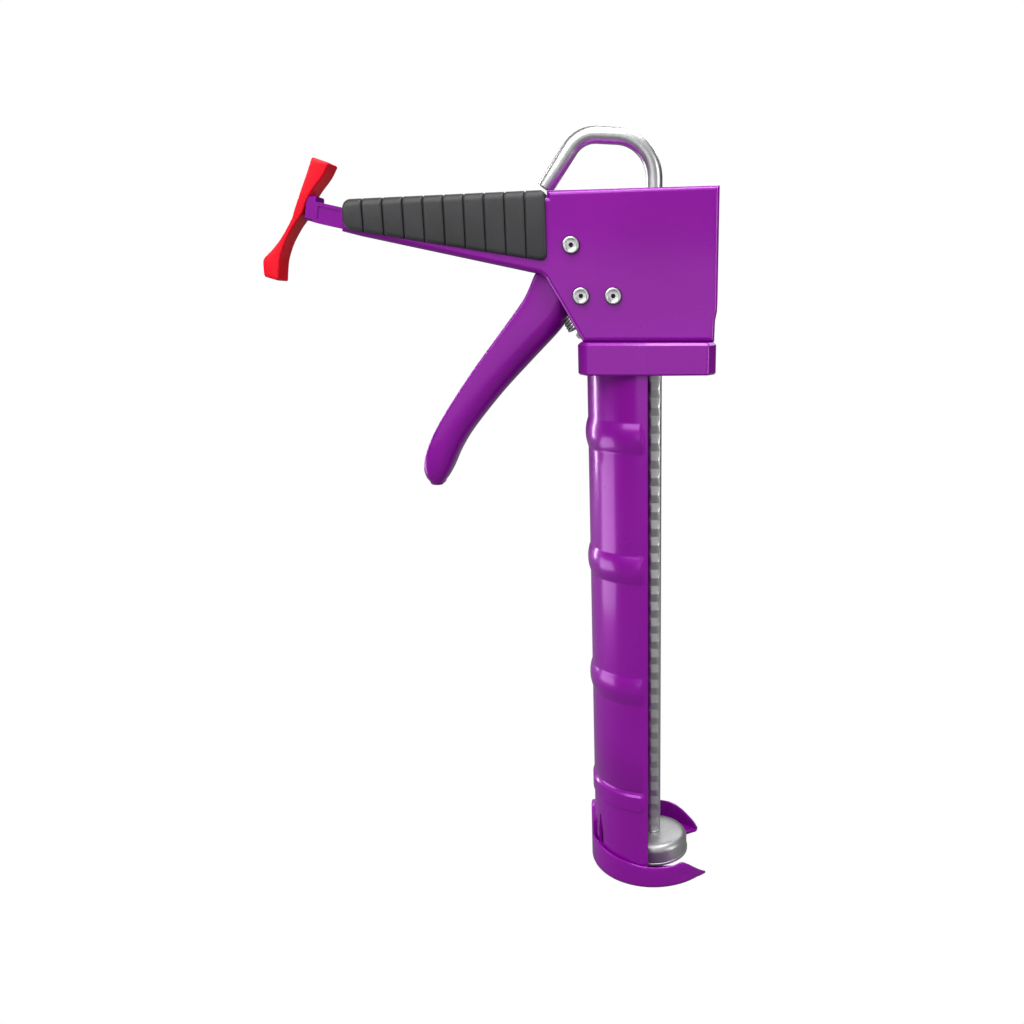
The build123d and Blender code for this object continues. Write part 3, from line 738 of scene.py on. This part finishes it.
def grip_stations():
    """(X, how deep the surface stands back) along the sleeve; each groove is a narrow notch."""
    left, right = GRIP_LOW[0], GRIP_HIGH[0]
    width = (right - left) / GRIP_SEGMENTS
    notch = [(-1.6, 0.02), (-0.75, 0.0), (-0.45, 0.05), (-0.27, 0.28), (-0.2, 1.15), (0.2, 1.15),
             (0.27, 0.28), (0.45, 0.05), (0.75, 0.0), (1.6, 0.02)]
    out = [(left + g, 0.0) for g in (0.0, 0.12, 0.35, 0.7, 1.2, 1.8, 2.6)]
    for index in range(1, GRIP_SEGMENTS):
        middle = left + index * width
        out += [(middle + shift, depth) for shift, depth in notch]
        out.append((middle + width / 2, 0.03))
    out = [s for s in out if s[0] < right - 2.7]
    return out + [(right - g, 0.0) for g in (2.6, 1.8, 1.2, 0.7, 0.35, 0.12, 0.0)]


def grip_ring(x, depth):
    """Section of the sleeve: a saddle over the handle stub, open below."""
    left, right = GRIP_LOW[0], GRIP_HIGH[0]
    gap = min(x - left, right - x)
    low = line_at(GRIP_BOTTOM, x) + round_off(gap, 2.8)
    high = line_at(GRIP_TOP, x) - round_off(gap, 2.2 if x > -80 else 3.0)
    proud = GRIP_T - round_off(gap, 0.9) - depth
    reach = GRIP_HALF_IN + max(proud, 0.12)
    inner_top = min(line_at(HANDLE_TOP, x), high - 0.5)
    high -= min(depth, 0.9) * 0.5
    top_r, low_r = 3.0, 1.5
    side = (corner((reach - low_r, low + low_r), low_r, 270, 360, 4)
            + corner((reach - top_r, high - top_r), top_r, 0, 90, 8))
    side = [(max(y, GRIP_HALF_IN) if z < inner_top else y, z) for y, z in side]
    near = [(x, -y, z) for y, z in side]
    far = [(x, y, z) for y, z in reversed(side)]
    inner = [(x, GRIP_HALF_IN, low + 0.05), (x, GRIP_HALF_IN, inner_top),
             (x, -GRIP_HALF_IN, inner_top), (x, -GRIP_HALF_IN, low + 0.05)]
    return near + far + inner


def grip_ribbed():
    """Rubber sleeve parted by grooves into ten segments."""
    skin = Skin()
    skin.rings([grip_ring(x, depth) for x, depth in grip_stations()])
    finish_piece(build("grip_ribbed", skin, 50), "grip_rubber", "frame", "grip_sleeve")


# ---------------------------------------------------------------- knob
KNOB_STATIONS = [
    # left x, z, right x, z, half y, left and right rounding
    (-152.9, 37.4, -147.4, 35.8, 5.4, 0.7, 0.7),
    (-152.9, 40.4, -146.8, 39.6, 5.4, 0.7, 0.7),
    (-152.3, 43.3, -146.0, 43.2, 5.3, 0.7, 0.7),
    (-149.0, 46.3, -144.6, 46.7, 5.2, 0.7, 0.7),
    (-145.4, 50.2, -142.9, 50.0, 5.1, 0.7, 0.7),
    (-141.9, 55.0, -139.6, 54.9, 5.1, 0.7, 0.7),
    (-139.7, 58.4, -137.0, 58.0, 5.2, 0.7, 0.7),
    (-138.7, 60.8, -135.2, 60.4, 5.3, 0.7, 0.7),
    (-136.8, 64.9, -133.3, 64.4, 5.4, 0.8, 0.7),
    (-134.8, 69.2, -130.4, 68.4, 5.4, 0.8, 0.7),
    (-132.4, 74.2, -126.2, 73.1, 5.4, 0.8, 0.8),
    (-130.2, 79.1, -123.7, 77.0, 5.4, 0.8, 0.8),
]


def knob_bar():
    """Two-armed wing knob."""
    skin = Skin()
    skin.rings(bar_rings(KNOB_STATIONS, 4, 0.8))
    finish_piece(build("knob_bar", skin, 38), "red_plastic", "knob", "wing_knob")


# ---------------------------------------------------------------- trigger
PIVOT = (-31.6, 47.7)
ARM_R = 17.0                 # trigger pivot to drive pawl pivot
ARM_LEAN_DEG = 14
DRIVE_PIN = (PIVOT[0] + ARM_R * cos(radians(ARM_LEAN_DEG)),
             PIVOT[1] + ARM_R * sin(radians(ARM_LEAN_DEG)))
HUB_R = 7.9
HUB_HALF_T = 8.6
TRIGGER_STATIONS = [
    # back x, z, front x, z, half y, back and front rounding
    (-38.5, 50.5, -27.2, 51.0, 8.6, 1.2, 1.6),
    (-43.4, 42.0, -28.4, 38.5, 8.9, 1.2, 3.4),
    (-46.6, 37.1, -31.2, 29.6, 9.0, 1.2, 5.6),
    (-49.6, 30.8, -34.2, 22.6, 9.0, 1.2, 6.6),
    (-52.7, 25.9, -37.6, 16.8, 9.0, 1.2, 6.8),
    (-60.9, 15.5, -49.3, 4.9, 9.0, 1.2, 6.8),
    (-73.6, -0.6, -61.9, -8.0, 9.0, 1.2, 6.6),
    (-86.2, -18.4, -74.2, -22.4, 9.0, 1.3, 6.2),
    (-92.4, -29.5, -80.2, -31.2, 8.9, 1.6, 5.6),
    (-95.1, -37.6, -83.9, -38.6, 8.4, 2.6, 5.0),
    (-95.0, -42.4, -86.2, -42.6, 7.4, 3.4, 4.4),
    (-93.6, -45.0, -88.2, -45.2, 5.6, 2.6, 2.6),
]
SPRING_FOOT = (-30.0, 14.6)
SPRING_TOP = (-37.0, 26.8)
SPRING_R = 3.6
SPRING_WIRE = 1.1


def spring_point(along, radius, turn):
    """A point beside the return spring's axis."""
    run = (SPRING_TOP[0] - SPRING_FOOT[0], SPRING_TOP[1] - SPRING_FOOT[1])
    size = hypot(*run)
    ux, uz = run[0] / size, run[1] / size
    a, b = radius * cos(turn), radius * sin(turn)
    return (SPRING_FOOT[0] + ux * along + uz * a, b, SPRING_FOOT[1] + uz * along - ux * a)


def spring_length():
    """Distance between the return spring's two eyes."""
    return hypot(SPRING_TOP[0] - SPRING_FOOT[0], SPRING_TOP[1] - SPRING_FOOT[1])


def trigger_blade():
    """Curved lever with its spring bore, and the hub and the two-cheeked arm on the same body."""
    skin = Skin()
    skin.rings(bar_rings(TRIGGER_STATIONS, 4, 1.2))
    blade = build("trigger_blade", skin, 40)
    bore = Skin()
    bore.rings([[spring_point(along, SPRING_R + 0.6, 2 * pi * n / 32) for n in range(32)]
                for along in (-6.0, spring_length() + 2.4)])
    cut_away(blade, [build("spring_bore", bore)], 40)
    hub = Skin()
    hub.drum(PIVOT, HUB_R, HUB_HALF_T)
    hub_piece = build("trigger_hub", hub)
    arm = Skin()
    for y_low, y_high in ((-7.0, -3.3), (3.3, 7.0)):
        arm.rings([arm_ring(y) for y in (y_low, y_high)])
    arm_piece = build("trigger_arm", arm)
    finish_piece(blade, "purple_paint", "trigger", "trigger_lever")
    for extra in (hub_piece, arm_piece):
        extra.data.materials.append(MATERIALS["purple_paint"])
        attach(extra, "trigger")


def arm_ring(y):
    """Outline of the arm's cheek: two round ends joined by straight sides."""
    lean = atan2(DRIVE_PIN[1] - PIVOT[1], DRIVE_PIN[0] - PIVOT[0]) * 180 / pi
    return [(a, y, b) for a, b in corner(PIVOT, 5.5, lean + 90, lean + 270, 12)
            + corner(DRIVE_PIN, 4.0, lean - 90, lean + 90, 12)]


# ---------------------------------------------------------------- rod, piston, screws and spring
ROD_R = 3.175
ROD_FOOT_Z = -211.5
HOOK_FOOT_Z = 71.0
HOOK_CORNERS = [(0.0, 87.2), (-28.5, 88.6)]
HOOK_RADII = [15.0, 12.0]
HOOK_END = (-42.2, 69.4)
TOOTH_PITCH = 7.3
TEETH_TOP_Z = 56.0
FLAT_OUT = 2.85              # distance of the flats' ends from the rod's axis
FLAT_IN = 1.95
PISTON_TOP_Z = -211.8
HALF_T = 14.0
SIDE_SCREWS = {"trigger_screw": PIVOT, "stop_screw": (-28.2, 29.2),
               "catch_screw": (-15.8, 29.2)}
RECESS_R = 0.95


def spring_helix():
    """Return spring with an eye at each end, stretched between the frame and the trigger."""
    length = spring_length()
    radius = SPRING_R - SPRING_WIRE / 2
    hook = 1.25
    coil_low, coil_high = 2.6, length - 2.6
    turns = 7.5
    path = [spring_point(-hook * cos(radians(d)), hook * sin(radians(d)), 0)
            for d in range(-70, 181, 25)]
    path.reverse()
    steps = 28
    for n in range(int(turns * steps) + 1):
        share = n / (turns * steps)
        ease = min(1.0, share * turns * 2, (1 - share) * turns * 2)
        path.append(spring_point(coil_low + (coil_high - coil_low) * share,
                                 radius * (0.42 + 0.58 * ease), 2 * pi * turns * share))
    path += [spring_point(length + hook * cos(radians(d)), hook * sin(radians(d)), 0)
             for d in range(-180, 71, 25)]
    skin = Skin()
    tube(skin, path, SPRING_WIRE / 2)
    spring = build("spring_helix", skin, 60)
    spring.data.materials.append(MATERIALS["bright_steel"])
    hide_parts("return_spring")
    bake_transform(spring)


def ratchet_bar():
    """Straight bar with tilted flats on its near flank, and the hook bent from it."""
    rings = []
    z = ROD_FOOT_Z
    rows = [(ROD_FOOT_Z, ROD_R)]
    while z + TOOTH_PITCH < TEETH_TOP_Z:
        half = TOOTH_PITCH / 2
        rows += [(z + 0.15, FLAT_OUT), (z + half - 0.15, FLAT_IN), (z + half + 0.15, FLAT_IN),
                 (z + TOOTH_PITCH - 0.15, FLAT_OUT)]
        z += TOOTH_PITCH
    rows += [(z + 0.2, ROD_R), (HOOK_FOOT_Z, ROD_R)]
    for z, flat in rows:
        rings.append([(x, max(y, -flat), z) for x, y in bar_circle()])
    for point, way in hook_path():
        rings.append([(point[0] - x_off * way[1], y, point[1] + x_off * way[0])
                      for x_off, y in [(-x, y) for x, y in bar_circle()]])
    skin = Skin()
    skin.rings(soft_ends(rings, 0.4))
    finish_piece(build("ratchet_bar", skin, 32), "bright_steel", "rod", "ratchet_rod", "pull_hook",
                 material="rod_steel")


def bar_circle():
    """Round section of the rod."""
    return [(ROD_R * cos(2 * pi * n / 64), ROD_R * sin(2 * pi * n / 64)) for n in range(64)]


def hook_path():
    """Middle line of the bend: ((x, z), unit direction) steps."""
    points = [(0.0, HOOK_FOOT_Z)] + HOOK_CORNERS + [HOOK_END]
    out = []
    for before, at, after, radius in zip(points, points[1:], points[2:], HOOK_RADII):
        a = unit(before, at)
        b = unit(at, after)
        turn = acos(a[0] * b[0] + a[1] * b[1])
        run = radius * sin(turn / 2) / cos(turn / 2)
        start = (at[0] - a[0] * run, at[1] - a[1] * run)
        centre = (start[0] - a[1] * radius, start[1] + a[0] * radius)
        for n in range(19):
            c, s = cos(turn * n / 18), sin(turn * n / 18)
            way = (a[0] * c - a[1] * s, a[0] * s + a[1] * c)
            out.append(((centre[0] + way[1] * radius, centre[1] - way[0] * radius), way))
    return out + [(HOOK_END, unit(HOOK_CORNERS[-1], HOOK_END))]


def unit(start, stop):
    """Unit direction from one point to another."""
    size = hypot(stop[0] - start[0], stop[1] - start[1])
    return ((stop[0] - start[0]) / size, (stop[1] - start[1]) / size)


def lathe(skin, profile, place, sides=64):
    """Turn (radius, distance) points about an axis; place puts them in the frame."""
    skin.rings([[place(r * cos(2 * pi * n / sides), r * sin(2 * pi * n / sides), d)
                 for n in range(sides)] for r, d in profile])


def piston_dome():
    """Pressed cup with a domed top and a thin rolled rim."""
    top = PISTON_TOP_Z
    outer = [(2.6, top), (8.0, top), (11.6, top - 0.1), (13.2, top - 0.4), (14.4, top - 1.0),
             (15.2, top - 1.9), (15.6, top - 3.0), (15.65, top - 7.9), (15.75, top - 8.2),
             (16.0, top - 8.35), (16.0, top - 9.3), (15.8, top - 9.5)]
    inner = [(14.6, top - 9.5), (14.4, top - 9.2), (14.2, top - 3.2), (12.6, top - 1.9),
             (8.0, top - 1.5), (2.6, top - 1.5), (2.6, top)]
    skin = Skin()
    lathe(skin, outer + inner, lambda a, b, d: (a, b, d))
    finish_piece(build("piston_dome", skin, 30), "bright_steel", "piston", "piston_cup",
                 material="satin_steel")


def side_screw(node, centre):
    """Button head with a bright rolled rim, a shallow dish and a six-sided recess; the recess and
    the rim's outer wall carry painted shade.
    """
    face = -HALF_T - 1.5
    profile = [(0.3, face + 0.65), (1.6, face + 0.62), (2.1, face + 0.5), (2.35, face + 0.05),
               (2.7, face), (3.0, face + 0.12), (3.22, face + 0.45), (3.3, face + 0.9),
               (3.3, -HALF_T), (2.0, -HALF_T), (2.0, HALF_T + 3.4), (1.6, HALF_T + 3.8),
               (0.3, HALF_T + 3.8)]
    skin = Skin()
    lathe(skin, profile, lambda a, b, d: (centre[0] + a, d, centre[1] + b))
    screw = build(f"{node}_turned", skin, 30)
    bit = Skin()
    bit.rings([[(centre[0] + RECESS_R * cos(pi * n / 3), y, centre[1] + RECESS_R * sin(pi * n / 3))
                for n in range(6)] for y in (face - 1, face + 1.3)])
    cut_away(screw, [build("recess_cutter", bit)], 30)
    finish_piece(screw, "bright_steel", "frame", node)
    # the recess floor and the outer rim wall take near-black steel: painted shade in the recess
    # and a painted dark outline round the head
    screw.data.materials.append(MATERIALS["painted_shade_steel"])
    for patch in screw.data.polygons:
        x, y, z = patch.center / MM
        reach = hypot(x - centre[0], z - centre[1])
        if y < 0 and (reach > 3.08 or (reach < 1.2 and y > face + 0.68)):
            patch.material_index = 1


# ---------------------------------------------------------------- make the scene
add_camera()
add_light()
add_stage()
MATERIALS = make_materials()
dress_cad()
cradle_shell()
cap_shell()
grip_ribbed()
knob_bar()
trigger_blade()
spring_helix()
ratchet_bar()
piston_dome()
for screw_node, screw_at in SIDE_SCREWS.items():
    side_screw(screw_node, screw_at)
